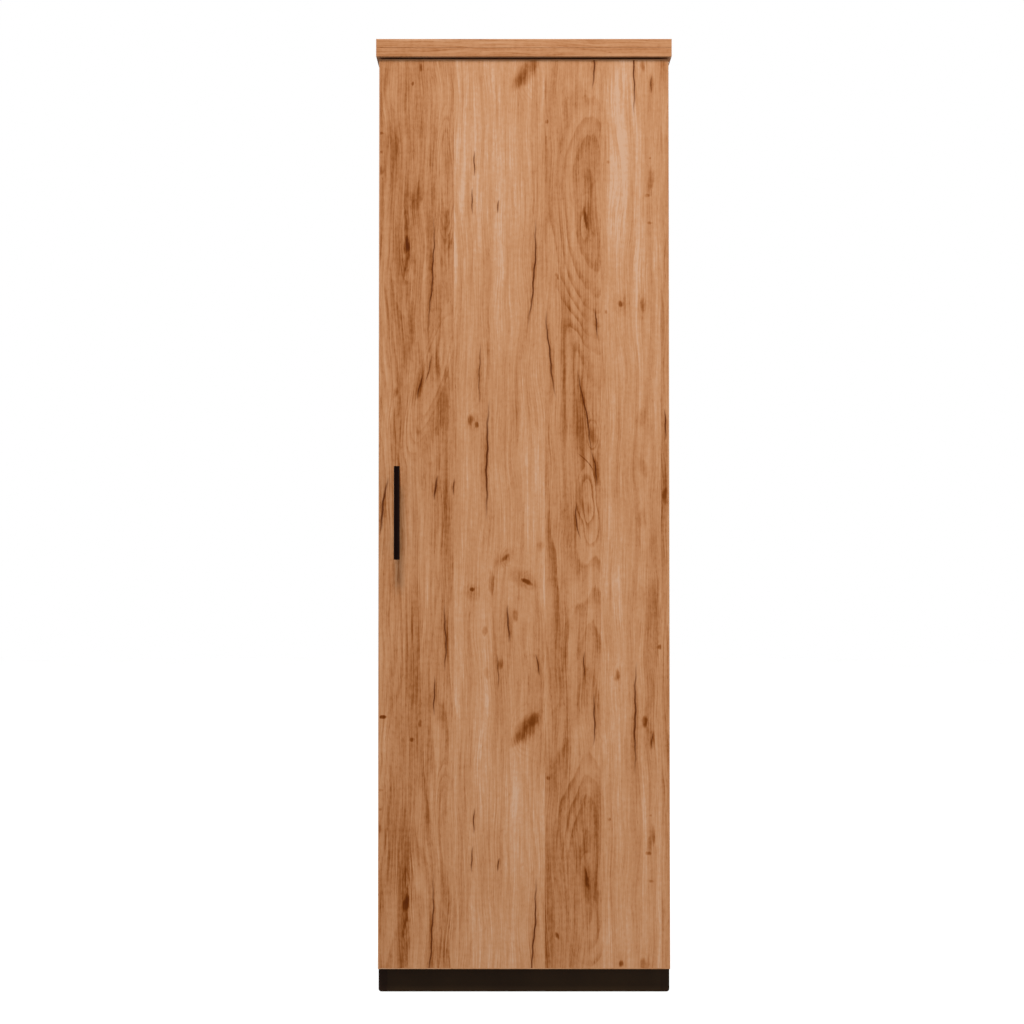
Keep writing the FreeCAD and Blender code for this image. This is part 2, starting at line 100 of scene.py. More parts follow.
def black_melamine(name, shade, light_shade):
    """Melamine pressed with a pearl grain, which gives the eye a matt and nearly even brown-black.

    Soft pits stand in the bump, and wide clouds change the gloss and the tone. Widths are in millimetres.
    """
    pearl_width, cloud_width = 3, 120
    material, tree = new_material(name)
    place = add_node(tree, "TexCoord", out="Object")
    pearl = add_node(tree, "TexNoise", place, Scale=1000 / pearl_width, Detail=2.0)
    cloud = add_node(tree, "TexNoise", place, Scale=1000 / cloud_width, Detail=3.0)
    tone = add_node(tree, "ValToRGB", cloud, stops=[(0.35, linear(shade)), (0.7, linear(light_shade))])
    gloss = add_node(tree, "MapRange", cloud, 0.3, 0.7, 0.62, 0.48)
    relief = add_node(tree, "Bump", Strength=0.25, Distance=0.0002, Height=pearl)
    facing = add_node(tree, "BsdfPrincipled", tone, Roughness=gloss, Normal=relief, Specular_IOR_Level=0.15)
    add_node(tree, "OutputMaterial", facing)
    return material


dress(black_melamine("black melamine", "#302011", "#392714"), "plinth_front", "plinth_rear")
dress(black_melamine("black melamine edge", "#29180c", "#311e10"), "plinth_left", "plinth_right")

# Levelling feet and their housings: moulded black plastic, pressed into the underside of the bottom panel.
# The key holes above them are closed by press-in caps of oak-brown plastic. Moulded skin is finely eroded.


def moulded_plastic(name, shade, worn_shade):
    """Plastic from a spark-eroded mould, which gives the eye a dull skin, rubbed paler in patches.

    The grain stands in the bump. Widths are in millimetres.
    """
    grain_width, rub_width = 0.8, 20
    material, tree = new_material(name)
    place = add_node(tree, "TexCoord", out="Object")
    grain = add_node(tree, "TexNoise", place, Scale=1000 / grain_width, Detail=1.0)
    rub = add_node(tree, "TexNoise", place, Scale=1000 / rub_width, Detail=4.0)
    tone = add_node(tree, "ValToRGB", rub, stops=[(0.45, linear(shade)), (0.75, linear(worn_shade))])
    gloss = add_node(tree, "MapRange", rub, 0.4, 0.7, 0.55, 0.42)
    relief = add_node(tree, "Bump", Strength=0.2, Distance=0.0001, Height=grain)
    skin = add_node(tree, "BsdfPrincipled", tone, Roughness=gloss, Normal=relief, Specular_IOR_Level=0.4)
    add_node(tree, "OutputMaterial", skin)
    return material


feet = ("front_left_foot", "front_right_foot", "rear_left_foot", "rear_right_foot")
dress(moulded_plastic("black moulded plastic", "#17171a", "#2b2b2e"), "leveller_housings", *feet)
dress(moulded_plastic("oak-brown moulded plastic", "#9c6a43", "#a9764d"), "access_caps")

# Carcass: two sides, a bottom and a fixed shelf of chipboard faced with oak-look melamine.
# The facing is a printed sheet of rustic oak planks that repeats along its length, pressed with fine pores;
# cut edges that carry no edging show the raw chipboard. Places and sizes on the print are in millimetres.
print_repeat = 1330
seams = (-142, 42, 156, 277)
plank_tones = (0.49, 0.70, 0.51, 0.73, 0.52)  # a higher tone is paler
plank_figures = (0.75, 0.40, 0.90, 0.40, 0.80)  # how strongly the growth lines show
plank_lines = (62, 62, 30, 62, 62)  # growth lines to the metre


def plank_number(across):
    """The number of the plank at a place across the print: how many seams lie to the left of it."""
    return sum(across > seam for seam in seams)


def group_tree(name, inputs, outputs):
    """An empty node group with number inputs, and the sockets that carry them in."""
    tree = bpy.data.node_groups.new(name, "ShaderNodeTree")
    for label in inputs:
        tree.interface.new_socket(label, in_out="INPUT", socket_type="NodeSocketFloat")
    for label in outputs:
        kind = "NodeSocketColor" if label == "Color" else "NodeSocketFloat"
        tree.interface.new_socket(label, in_out="OUTPUT", socket_type=kind)
    return tree, tree.nodes.new("NodeGroupInput").outputs


def end_group(tree, *sockets):
    """Leads these sockets out of a node group, in the order of its outputs, and gives the group back."""
    leave = tree.nodes.new("NodeGroupOutput")
    for number, socket in enumerate(sockets):
        tree.links.new(socket, leave.inputs[number])
    return tree


def oval_mark():
    """A node group: a level that is full in the middle of a leaning oval and falls smoothly to its rim.

    Two slanted measures, each a share of across and of along and a start, are squared and added.
    """
    inputs = ("Across", "Along", "A", "B", "C", "D", "E", "F", "Level")
    tree, given = group_tree("oval mark", inputs, ("Mark",))
    squared = 0.0
    for across_share, along_share, start in (given[2:5], given[5:8]):
        measure = add_node(tree, "Math", given["Across"], across_share, start, operation="MULTIPLY_ADD")
        measure = add_node(tree, "Math", given["Along"], along_share, measure, operation="MULTIPLY_ADD")
        squared = add_node(tree, "Math", measure, measure, squared, operation="MULTIPLY_ADD")
    mark = add_node(tree, "MapRange", squared, 0.0, 1.0, given["Level"], 0.0,
                    interpolation_type="SMOOTHSTEP")
    return end_group(tree, mark)


def crack_mark():
    """A node group: a slit that follows a bowed line between two heights and thins to nothing at both ends.

    The height runs from 0 to pi along the line; its sine bows the line and thins the slit and its stain.
    """
    inputs = ("Across", "Along", "High", "Low", "Start", "Slope", "Bow", "Width", "Stain")
    tree, given = group_tree("crack mark", inputs, ("Slit", "Stain"))
    angle = add_node(tree, "MapRange", given["Along"], given["High"], given["Low"], 0.0, math.pi)
    taper = add_node(tree, "Math", angle, operation="SINE")
    line = add_node(tree, "Math", angle, given["Slope"], given["Start"], operation="MULTIPLY_ADD")
    line = add_node(tree, "Math", taper, given["Bow"], line, operation="MULTIPLY_ADD")
    off = add_node(tree, "Math", given["Across"], line, operation="SUBTRACT")
    off = add_node(tree, "Math", off, operation="ABSOLUTE")
    slit = add_node(tree, "MapRange", off, 0.0, given["Width"], taper, 0.0)
    stain = add_node(tree, "MapRange", off, 0.0, given["Stain"], taper, 0.0)
    return end_group(tree, slit, stain)


def printed_oak():
    """The printed sheet as a node group: metres across and along the planks in, colour, relief and gloss out.

    The figure is the contour lines of a slow noise that leans with the plank and swells round each knot, so
    the lines run along the plank, close into loops and part round the knots as growth rings do. Knots, shaded
    patches and cracks then stand at their places, and again one repeat lower. Numbers are added up one by one
    along a chain of nodes, because a renderer keeps only a few of them at a time.
    """
    tree, given = group_tree("printed oak", ("Across", "Along"), ("Color", "Height", "Roughness"))
    across, along = given["Across"], given["Along"]
    oval, crack = oval_mark(), crack_mark()

    # Planks: each seam passed adds a step to the plank's number, tone, figure and lines. The tone starts
    # lower, to balance part of what the noises below add to it. The planks are then spread this many metres
    # apart, so that a mark in one never reaches into the next.
    tone_balance, plank_gap = 0.63, 2.0
    plank = add_node(tree, "Math", across, 0.0, operation="MULTIPLY")
    tone = add_node(tree, "Math", across, 0.0, plank_tones[0] - tone_balance, operation="MULTIPLY_ADD")
    figure = add_node(tree, "Math", across, 0.0, plank_figures[0], operation="MULTIPLY_ADD")
    lines = add_node(tree, "Math", across, 0.0, plank_lines[0], operation="MULTIPLY_ADD")
    steps = np.diff([plank_tones, plank_figures, plank_lines]).T.tolist()
    for seam, (tone_step, figure_step, line_step) in zip(seams, steps):
        past = add_node(tree, "Math", across, seam / 1000, operation="GREATER_THAN")
        plank = add_node(tree, "Math", plank, past, operation="ADD")
        tone = add_node(tree, "Math", past, tone_step, tone, operation="MULTIPLY_ADD")
        figure = add_node(tree, "Math", past, figure_step, figure, operation="MULTIPLY_ADD")
        lines = add_node(tree, "Math", past, line_step, lines, operation="MULTIPLY_ADD")
    spread = add_node(tree, "Math", plank, plank_gap, across, operation="MULTIPLY_ADD")

    def grain(sheet, wide, long, detail, apart=8.0):
        """Noise with cells this many millimetres wide and long, and this many cells from plank to plank."""
        cells = (1000 / wide, 1000 / long, apart)
        stretched = add_node(tree, "VectorMath", sheet, cells, operation="MULTIPLY")
        return add_node(tree, "TexNoise", stretched, Scale=1.0, Detail=detail)

    # Fibres and streaks: noises drawn out along the planks, different in each plank, that sway from side to
    # side by up to this many metres. Blots are rounder and lie straight.
    sway = 0.03
    straight = add_node(tree, "CombineXYZ", across, along, plank)
    bent = add_node(tree, "Math", grain(straight, 70, 220, 1.0), sway, across, operation="MULTIPLY_ADD")
    swaying = add_node(tree, "CombineXYZ", bent, along, plank)
    streak = grain(swaying, 9, 420, 2.0)
    fibre = grain(swaying, 2.4, 110, 2.0)
    blot = grain(straight, 16, 34, 2.0)
    tone = add_node(tree, "Math", blot, 0.26, tone, operation="MULTIPLY_ADD")

    # Knots and patches lie on a sheet that blots and fibres tear at their rims, and swells of the growth
    # lines on a smoother one. A noise is one half on the whole, and that much is taken off again.
    tear, flow = 0.012, 0.010
    ragged = add_node(tree, "Math", blot, tear, spread, operation="MULTIPLY_ADD")
    ragged = add_node(tree, "Math", fibre, tear, ragged, operation="MULTIPLY_ADD")
    ragged = add_node(tree, "Math", ragged, tear, operation="SUBTRACT")
    flowing = add_node(tree, "Math", grain(straight, 45, 150, 1.0), flow, spread, operation="MULTIPLY_ADD")
    flowing = add_node(tree, "Math", flowing, flow / 2, operation="SUBTRACT")

    def repeats(height):
        """The heights at which a mark of the print comes on a tall panel: its own, and one repeat lower."""
        lowest = 20
        return [height] + ([height - print_repeat] if height - print_repeat > lowest else [])

    def lay_marks(total, operation, sheet, marks):
        """Oval marks laid on a total, one by one, each a place, half width and length, lean and level.

        A positive lean tips the top to the right. The two measures of an oval are how far a point lies from
        its middle along its own width and length, as shares of these.
        """
        for x, z, wide, long, lean, level in marks:
            x += 1000 * plank_gap * plank_number(x)
            c, s = math.cos(math.radians(lean)), math.sin(math.radians(lean))
            for height in repeats(z):
                width_measure = (1000 * c / wide, -1000 * s / wide, (s * height - c * x) / wide)
                length_measure = (1000 * s / long, 1000 * c / long, -(s * x + c * height) / long)
                mark = add_node(tree, "Group", sheet, along, *width_measure, *length_measure, level,
                                node_tree=oval)
                total = add_node(tree, "Math", total, mark, operation=operation)
        return total

    # Swells of the growth figure round knots and in flat-sawn planks; the level is a number of rings
    swells = (
        (155, 1550, 105, 290, 0, -3.6), (155, 1720, 110, 540, 0, -3.4), (126, 1562, 16, 60, 0, 0.9),
        (-163, 1640, 26, 170, 0, 3.5), (-238, 1512, 14, 90, 0, 1.6), (4, 1860, 36, 60, 0, 2.4),
        (-102, 1150, 20, 36, 0, 1.6), (124, 1000, 26, 64, 0, 1.3), (137, 945, 20, 60, 0, 1.0),
        (-38, 877, 16, 22, 0, 1.4), (8, 828, 20, 24, 0, 1.6), (-105, 813, 12, 18, 0, 1.0),
        (196, 1391, 12, 22, 0, 1.0), (240, 1389, 12, 26, 0, 1.0), (-190, 1240, 34, 200, 18, 2.4),
        (188, 640, 12, 30, 0, 1.2), (139, 1126, 16, 40, 0, 1.6),
    )
    phase = add_node(tree, "Math", across, 0.0, operation="MULTIPLY")
    phase = lay_marks(phase, "ADD", flowing, swells)

    # Where the figure is drawn most strongly; the level is how much more strongly
    bold_places = (
        (124, 1010, 34, 110, 0, 1.4), (-190, 1240, 34, 160, 18, 0.7), (80, 860, 40, 200, 0, 0.6),
        (60, 1250, 30, 160, 0, 0.5), (125, 1460, 50, 200, 0, 0.25),
    )
    figure = lay_marks(figure, "ADD", flowing, bold_places)

    # Shaded and pale patches; the level is how much lighter
    patches = (
        (-255, 1640, 26, 260, -2, -0.08), (-240, 1480, 20, 190, 3, -0.28), (-160, 1545, 14, 70, -8, -0.20),
        (-60, 1740, 70, 330, 0, 0.09), (126, 1820, 42, 110, 0, 0.22), (-170, 1180, 20, 110, 18, -0.17),
        (-212, 1230, 12, 60, 16, -0.18), (110, 985, 8, 46, 0, -0.14), (126, 1000, 24, 90, 0, -0.12),
        (-232, 1330, 12, 90, 4, -0.26), (120, 1150, 26, 130, -6, -0.12), (190, 1640, 24, 220, 0, 0.08),
        (-60, 700, 30, 110, 0, 0.06), (-230, 700, 30, 150, 0, -0.16), (70, 720, 26, 160, 0, -0.20),
        (200, 900, 26, 200, 0, 0.05), (-10, 1240, 14, 180, 5, -0.16), (284, 990, 20, 190, 0, -0.22),
        (268, 930, 20, 260, 0, -0.22), (-170, 960, 24, 90, 10, -0.13), (4, 1862, 22, 46, 36, -0.40),
        (4, 532, 36, 66, 36, -0.09), (196, 1391, 22, 30, 0, -0.14), (237, 1160, 14, 26, 20, -0.20),
        (241, 1060, 12, 30, -20, -0.20), (238, 957, 14, 24, 10, -0.20), (32, 900, 9, 14, 0, -0.24),
        (-2, 834, 22, 40, -58, -0.30), (-40, 875, 18, 32, 48, -0.24), (-103, 806, 20, 22, 0, -0.20),
        (240, 1385, 16, 40, 0, -0.16), (130, 1560, 22, 70, -10, -0.15), (-272, 1810, 22, 90, 0, 0.18),
        (-190, 1450, 18, 130, 3, 0.10), (-171, 1815, 20, 80, 0, 0.10), (-239, 1640, 18, 110, 0, -0.10),
        (-104, 1345, 20, 120, 0, 0.13), (-104, 230, 20, 200, 0, 0.11), (-30, 640, 80, 180, 0, -0.16),
        (31, 640, 14, 360, 0, -0.10), (66, 520, 30, 330, 0, -0.12), (204, 1190, 22, 190, 0, 0.12),
        (234, 500, 26, 150, 0, -0.20), (60, 890, 36, 100, 0, -0.13), (262, 745, 20, 100, 0, -0.14),
        (-190, 110, 46, 100, 0, -0.14), (-104, 590, 18, 110, 0, 0.11), (176, 1820, 20, 80, 0, 0.12),
        (-50, 100, 90, 110, 0, 0.12), (216, 100, 60, 110, 0, 0.10), (259, 1838, 8, 28, 0, -0.20),
        (256, 1640, 8, 38, 3, -0.32), (-66, 826, 6, 32, 0, -0.34), (-104, 1150, 17, 24, 0, -0.16),
    )
    tone = lay_marks(tone, "ADD", ragged, patches)

    # Cracks (upper end, lower end, bow, half width): a dark slit that fades towards its rim, so it reaches a
    # little beyond its half width, and a stained border that reaches five half widths. Two sine waves let them
    # wander by these reaches in metres.
    wave_reach, ripple_reach = 0.0009, 0.0005
    wave = add_node(tree, "Math", along, 70.0, operation="MULTIPLY")
    wave = add_node(tree, "Math", across, 40.0, wave, operation="MULTIPLY_ADD")
    wave = add_node(tree, "Math", wave, operation="SINE")
    ripple = add_node(tree, "Math", along, 193.0, operation="MULTIPLY")
    ripple = add_node(tree, "Math", across, 90.0, ripple, operation="MULTIPLY_ADD")
    ripple = add_node(tree, "Math", ripple, operation="SINE")
    wandering = add_node(tree, "Math", ripple, ripple_reach, across, operation="MULTIPLY_ADD")
    wandering = add_node(tree, "Math", wave, wave_reach, wandering, operation="MULTIPLY_ADD")
    cracks = (
        (141, 1935, 140, 1826, 2, 1.6), (226, 2000, 224, 1770, -1, 1.8), (-100, 1704, -101, 1650, 0, 1.3),
        (-104, 1628, -105, 1572, 0, 1.2), (-182, 1575, -196, 1330, 4, 1.45), (24, 1568, 8, 1340, 5, 1.8),
        (44, 1382, 64, 1198, -2, 1.8), (145, 1384, 147, 1320, 1, 1.5), (-71, 1200, -75, 950, -2, 2.2),
        (-89, 1314, -91, 1185, 0, 0.9), (106, 1262, 138, 1085, 3, 1.5), (136, 1096, 148, 1020, 2, 1.4),
        (-275, 1042, -291, 920, -2, 2.4), (-174, 1045, -182, 992, 0, 2.2), (-142, 1038, -142, 1002, 0, 1.2),
        (-204, 1250, -217, 1197, 0, 1.5), (-162, 786, -160, 646, 3, 1.6), (-181, 640, -181, 556, 0, 1.5),
        (-33, 784, -30, 704, 0, 1.9), (23, 684, 33, 638, 0, 1.3), (284, 1180, 288, 1114, 0, 1.5),
        (-51, 1604, -53, 1575, 0, 1.2), (122, 690, 121, 630, 0, 1.2), (105, 992, 114, 913, -3, 1.3),
        (106, 1090, 142, 1050, 4, 0.6), (-186, 1288, -200, 1228, 0, 0.8), (260, 1858, 258, 1820, 0, 0.9),
        (-53, 684, -52, 612, 0, 0.7),
    )
    slit = add_node(tree, "Math", across, 0.0, operation="MULTIPLY")
    border = slit
    for high_x, high_z, low_x, low_z, bow, half_width in cracks:
        slope = (low_x - high_x) / math.pi / 1000
        slit_reach, stain_reach = half_width / 820, half_width / 200
        for high in repeats(high_z):
            low = high + low_z - high_z
            made = add_node(tree, "Group", wandering, along, high / 1000, low / 1000, high_x / 1000, slope,
                            bow / 1000, slit_reach, stain_reach, node_tree=crack).node.outputs
            slit = add_node(tree, "Math", slit, made["Slit"], operation="MAXIMUM")
            border = add_node(tree, "Math", border, made["Stain"], operation="MAXIMUM")
    slit = add_node(tree, "MapRange", slit, 0.0, 0.65, 0.0, 0.95)
    tone = add_node(tree, "Math", border, -0.30, tone, operation="MULTIPLY_ADD")

    # Knots; the level is how dark they are
    knots = (
        (18, 1880, 13, 20, 30, 0.32), (-14, 1842, 12, 26, 35, 0.36), (2, 1862, 8, 18, 35, 0.2),
        (-209, 1873, 5, 10, 0, 0.5), (-226, 1840, 5, 6, 0, 0.7), (243, 1876, 7, 15, 0, 0.85),
        (48, 1763, 4, 6, 0, 0.7), (-238, 1512, 6, 24, 4, 0.95), (-240, 1470, 4, 40, 8, 0.45),
        (-237, 1560, 3, 30, -4, 0.4), (126, 1562, 5, 26, -8, 0.65), (67, 1447, 4, 10, -15, 0.6),
        (196, 1391, 7, 9, 0, 1.0), (240, 1389, 8, 18, 0, 0.55), (168, 1375, 4, 5, 0, 0.6),
        (-107, 1156, 9, 14, 20, 0.8), (-96, 1146, 5, 8, 0, 0.75), (-38, 877, 6, 14, 50, 0.55),
        (8, 828, 6, 15, -60, 0.95), (-105, 813, 6, 6, 0, 0.9), (-259, 1211, 7, 14, 0, 0.5),
        (142, 1124, 9, 22, 0, 0.30), (286, 1003, 9, 22, 0, 0.55), (276, 697, 9, 7, 0, 0.75),
        (188, 640, 7, 16, 10, 1.0), (-290, 1739, 8, 4, 0, 0.5), (-291, 1700, 6, 4, 0, 0.5),
        (-291, 1662, 7, 12, 0, 0.5), (-285, 556, 10, 5, 0, 1.3), (-17, 761, 8, 16, 0, 0.7),
        (-79, 729, 7, 13, 0, 0.65), (-48, 663, 8, 14, 10, 0.5), (-158, 1250, 7, 22, 10, 0.5),
        (-75, 644, 6, 16, -10, 0.55), (252, 1612, 8, 5, 0, 0.6), (257, 1688, 4, 3, 0, 0.6),
        (172, 1680, 3, 5, 0, 0.7), (255, 1556, 7, 4, 0, 0.55),
    )
    knot = add_node(tree, "Math", across, 0.0, operation="MULTIPLY")
    knot = lay_marks(knot, "MAXIMUM", ragged, knots)

    # Growth lines: a ring darkens slowly up to this share of its width, and pales fast in the rest. The rings
    # stray sideways by up to this many metres, and show more in some places than in others.
    late_wood, stray = 0.86, 0.21
    leaning = add_node(tree, "Math", grain(straight, 120, 900, 1.5), stray, across, operation="MULTIPLY_ADD")
    phase = add_node(tree, "Math", leaning, lines, phase, operation="MULTIPLY_ADD")
    phase = add_node(tree, "Math", grain(straight, 26, 150, 2.0), 1.0, phase, operation="MULTIPLY_ADD")
    width = add_node(tree, "Math", phase, operation="FRACT")
    darker = add_node(tree, "MapRange", width, 0.3, late_wood, 0.5, -0.5, interpolation_type="SMOOTHSTEP")
    paler = add_node(tree, "MapRange", width, late_wood, 1.0, -0.5, 0.5, interpolation_type="SMOOTHSTEP")
    ring = add_node(tree, "Math", darker, paler, operation="MAXIMUM")
    strength = add_node(tree, "MapRange", grain(straight, 60, 320, 1.0, 18.0), 0.36, 0.64, 0.04, 0.28)
    strength = add_node(tree, "Math", strength, figure, operation="MULTIPLY")

    # Tone: clouds, bands, streaks, fibres and specks, each with its weight, then the rings, knots and pores
    tone = add_node(tree, "Math", grain(straight, 90, 500, 2.0), 0.65, tone, operation="MULTIPLY_ADD")
    tone = add_node(tree, "Math", grain(swaying, 26, 700, 1.0), 0.68, tone, operation="MULTIPLY_ADD")
    tone = add_node(tree, "Math", streak, 0.56, tone, operation="MULTIPLY_ADD")
    tone = add_node(tree, "Math", fibre, 0.78, tone, operation="MULTIPLY_ADD")
    tone = add_node(tree, "Math", grain(straight, 7, 9, 2.0), 0.30, tone, operation="MULTIPLY_ADD")
    tone = add_node(tree, "Math", ring, strength, tone, operation="MULTIPLY_ADD")
    fibrous = add_node(tree, "MapRange", fibre, 0.3, 0.65, 0.35, 0.72)
    knot = add_node(tree, "Math", knot, fibrous, operation="MULTIPLY")
    tone = add_node(tree, "Math", tone, knot, operation="SUBTRACT")
    pore = add_node(tree, "MapRange", grain(swaying, 0.7, 14, 1.0), 0.62, 0.74, 0.0, 0.3)
    tone = add_node(tree, "Math", tone, pore, operation="SUBTRACT")
    depth = add_node(tree, "MapRange", tone, 0.5, 2.0, 0.0, 1.0)

    # Colour: the tone picks a shade of oak, and cracks are laid over it. A Mix node's colours are its inputs
    # 6 and 7, and its colour comes out at 2.
    shades = [(0.0, "#521c00"), (0.18, "#662d00"), (0.33, "#7a3d0b"), (0.44, "#915426"), (0.56, "#a96e42"),
              (0.68, "#b77f55"), (0.81, "#c08b62"), (0.92, "#c69570"), (1.0, "#cba284")]
    colour = add_node(tree, "ValToRGB", depth, stops=[(at, linear(shade)) for at, shade in shades])
    colour = add_node(tree, "Mix", slit, None, None, None, None, None, colour, linear("#562100"),
                      out=2, data_type="RGBA")
    relief = add_node(tree, "Math", pore, -0.5, fibre, operation="MULTIPLY_ADD")
    gloss = add_node(tree, "MapRange", streak, 0.3, 0.7, 0.42, 0.54)
    return end_group(tree, colour, relief, gloss)


oak_sheet = printed_oak()


def lay_print(tree, place, across, along):
    """The print's colour, relief and gloss; across and along are each a row of X, Y and Z shares and a start.

    A share of the board's thickness moves the print on from one face to the other, as on two sheets.
    """
    laid = add_node(tree, "Group", node_tree=oak_sheet).node
    for number, (*shares, start) in enumerate((across, along)):
        share = add_node(tree, "VectorMath", place, shares, operation="DOT_PRODUCT", out="Value")
        tree.links.new(add_node(tree, "Math", share, start, operation="ADD"), laid.inputs[number])
    return laid.outputs


def oak_melamine(name, across, along, raw_edge=None):
    """Oak print pressed on a panel, which gives the eye warm planks with a soft, even sheen.

    The raw edge is an axis and a place in metres. Beyond it chipboard shows, pale and dark chips of a few
    millimetres.
    """
    chip_width = 4
    material, tree = new_material(name)
    place = add_node(tree, "TexCoord", out="Object")
    colour, height, gloss = lay_print(tree, place, across, along)
    if raw_edge:
        axis, limit = raw_edge
        parts = add_node(tree, "SeparateXYZ", place, out=axis)
        cut = add_node(tree, "Math", parts, limit, operation="GREATER_THAN")
        chips = add_node(tree, "TexVoronoi", place, Scale=1000 / chip_width, out="Color")
        chip = add_node(tree, "ValToRGB", chips, stops=[(0.1, linear("#8c5f3a")), (0.9, linear("#d3ab7e"))])
        colour = add_node(tree, "Mix", cut, None, None, None, None, None, colour, chip,
                          out=2, data_type="RGBA")
    relief = add_node(tree, "Bump", Strength=0.35, Distance=0.0002, Height=height)
    facing = add_node(tree, "BsdfPrincipled", colour, Roughness=gloss, Normal=relief, Specular_IOR_Level=0.10)
    add_node(tree, "OutputMaterial", facing)
    return material


rear_cut = ("Y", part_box("left_side")[1].y - 2e-4)
dress(oak_melamine("oak melamine, left side", (6.7, 1, 0, 1.95), (16.7, 0, -1, 6.86), rear_cut), "left_side")
dress(oak_melamine("oak melamine, right side", (6.7, -1, 0, -1.92), (20.6, 0, 1, -6.04), rear_cut),
      "right_side")
dress(oak_melamine("oak melamine, level", (0, 1, 0, 0.03), (1, 0, 0, 1.05)), "bottom_panel", "fixed_shelf")

# Carcass edging: 1 mm oak-look plastic strip, glued to the front edges of the sides and the bottom panel and
# rounded over along both sides. The print stands upright on all three strips.
dress(oak_melamine("oak edging, upright", (1, 1, 0, 0.1), (0, 0, 1, 0.0)), "carcass_edging")

# Back: thin hardboard that slides into grooves, printed with oak on the inside and raw outside.
# Raw hardboard is pressed fibre, brown and faintly mottled, with a canvas mark from the press screen.


def hardboard(name, front_y):
    """Pressed fibre behind, which gives the eye a dull brown with flecks, and the oak print before a plane.

    Flecks, clouds and the mark of the press screen have these widths in millimetres.
    """
    fleck_width, cloud_width, screen_width = 5, 90, 4
    material, tree = new_material(name)
    place = add_node(tree, "TexCoord", out="Object")
    mottle = add_node(tree, "TexNoise", place, Scale=1000 / fleck_width, Detail=5.0)
    cloud = add_node(tree, "TexNoise", place, Scale=1000 / cloud_width, Detail=4.0)
    screen = add_node(tree, "TexVoronoi", place, Scale=1000 / screen_width, Randomness=0.0)
    fibre_tone = add_node(tree, "Math", cloud, 0.35, mottle, operation="MULTIPLY_ADD")
    fibre_tone = add_node(tree, "Math", screen, 0.25, fibre_tone, operation="MULTIPLY_ADD")
    fibres = add_node(tree, "ValToRGB", fibre_tone,
                      stops=[(0.5, linear("#704c2e")), (1.05, linear("#96704c"))])
    depth = add_node(tree, "SeparateXYZ", place, out="Y")
    inside = add_node(tree, "Math", depth, front_y, operation="LESS_THAN")
    printed = lay_print(tree, place, (-1, 0, 0, 0), (0, 0, -1, 1.93))[0]
    colour = add_node(tree, "Mix", inside, None, None, None, None, None, fibres, printed,
                      out=2, data_type="RGBA")
    relief = add_node(tree, "Bump", Strength=0.3, Distance=0.0003, Height=screen)
    gloss = add_node(tree, "MapRange", mottle, 0.3, 0.7, 0.6, 0.75)
    board = add_node(tree, "BsdfPrincipled", colour, Roughness=gloss, Normal=relief, Specular_IOR_Level=0.3)
    add_node(tree, "OutputMaterial", board)
    return material


dress(hardboard("hardboard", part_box("back_panel")[0].y + 5e-4), "back_panel")

# Top: two oak-look boards, one on the other, each with its own 2 mm plastic edging glued on, so that a fine
# line runs round at half height. The print runs from side to side, and along each strip of edging.
dress(oak_melamine("oak melamine, top, lower", (0, 1, 0, 0.05), (1, 0, 0, 0.8)), "top_lower_board")
dress(oak_melamine("oak melamine, top, upper", (0, 1, 0, -0.03), (1, 0, 0, 1.35)), "top_upper_board")
dress(oak_melamine("oak edging, top, lower", (0, 0, 1, -1.61), (1, 1, 0, 2.6)), "top_lower_edging")
dress(oak_melamine("oak edging, top, upper", (0, 0, 1, -1.60), (1, 1, 0, 3.3)), "top_upper_edging")

# Joints of the carcass: zinc cam locks that pull on steel bolts, and beech dowels between them.
# They lie in bored holes, and only the cams' flush ends show, each with a cross for the screwdriver.


def plated(name, shade, dull_shade, roughness):
    """Plated or cast metal, which gives the eye a broken shine: a cloudy film over fine grain in the bump.

    Widths are in millimetres.
    """
    film_width, grain_width = 15, 0.4
    material, tree = new_material(name)
    place = add_node(tree, "TexCoord", out="Object")
    film = add_node(tree, "TexNoise", place, Scale=1000 / film_width, Detail=4.0)
    grain = add_node(tree, "TexNoise", place, Scale=1000 / grain_width, Detail=1.0)
    tone = add_node(tree, "ValToRGB", film, stops=[(0.35, linear(dull_shade)), (0.7, linear(shade))])
    gloss = add_node(tree, "MapRange", film, 0.3, 0.7, roughness + 0.1, roughness - 0.05)
    relief = add_node(tree, "Bump", Strength=0.1, Distance=0.0001, Height=grain)
    metal = add_node(tree, "BsdfPrincipled", tone, Metallic=1.0, Roughness=gloss, Normal=relief)
    add_node(tree, "OutputMaterial", metal)
    return material


def raw_beech(name):
    """Turned beech without a finish, which gives the eye a dull pale wood with small flecks."""
    fleck_width = 2
    material, tree = new_material(name)
    place = add_node(tree, "TexCoord", out="Object")
    fleck = add_node(tree, "TexNoise", place, Scale=1000 / fleck_width, Detail=3.0)
    tone = add_node(tree, "ValToRGB", fleck, stops=[(0.3, linear("#c39a68")), (0.7, linear("#d9b684"))])
    gloss = add_node(tree, "MapRange", fleck, 0.3, 0.7, 0.7, 0.6)
    wood = add_node(tree, "BsdfPrincipled", tone, Roughness=gloss)
    add_node(tree, "OutputMaterial", wood)
    return material


def ring_faces(rings, spokes):
    """Corner numbers of the quads between rings of points, the first ring innermost and counter-clockwise."""
    ring, spoke = np.meshgrid(np.arange(rings - 1), np.arange(spokes), indexing="ij")
    corner, follow = ring * spokes + spoke, ring * spokes + (spoke + 1) % spokes
    return np.stack([corner, corner + spokes, follow + spokes, follow], -1).reshape(-1, 4)


